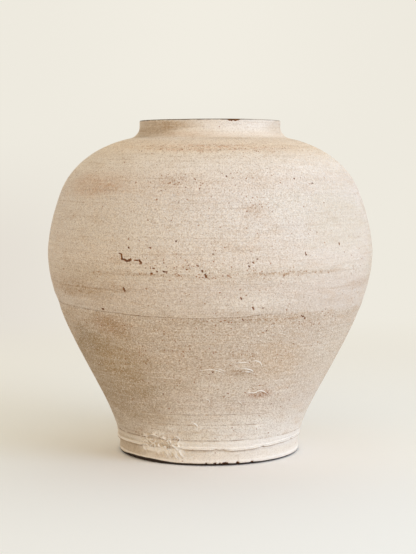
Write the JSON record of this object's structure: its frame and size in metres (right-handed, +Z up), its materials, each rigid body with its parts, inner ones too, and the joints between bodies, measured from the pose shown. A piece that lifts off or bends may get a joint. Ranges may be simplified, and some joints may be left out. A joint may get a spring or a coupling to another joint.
{
  "type": "moon jar",
  "caption": "Large matt ceramic jar with wide shoulders, a low collar neck and a banded foot ring, coated in cream slip.",
  "frame": {"origin": "centre of the foot ring's underside, on the surface the jar stands on", "axes": "+Z up along the jar's axis of turning, towards the mouth; the jar is round, so +X and +Y are only the view's right and depth"},
  "size_m": [0.393, 0.393, 0.4],
  "materials": {
    "cream_slip": "matt cream slip coat with fine stucco grain, throwing lines, tan bands and dark pits where the body shows",
    "tan_slip": "matt tan-cream slip coat, thinner and warmer, with raised curls of slip",
    "pale_slip": "matt pale slip coat, wiped, with a squeezed-out lip and small nicks",
    "bare_stoneware": "unglazed brown stoneware body"
  },
  "bodies": {
    "root": {"foot_ring": "pale_slip", "foot_slip": "pale_slip", "base_disc": "pale_slip", "base_slip": "tan_slip", "floor_coil": "bare_stoneware", "lower_wall": "tan_slip", "seam_slip": "tan_slip", "seam_coil": "bare_stoneware", "upper_wall": "cream_slip", "neck_slip": "cream_slip", "neck_collar": "cream_slip"}
  },
  "joints": []
}
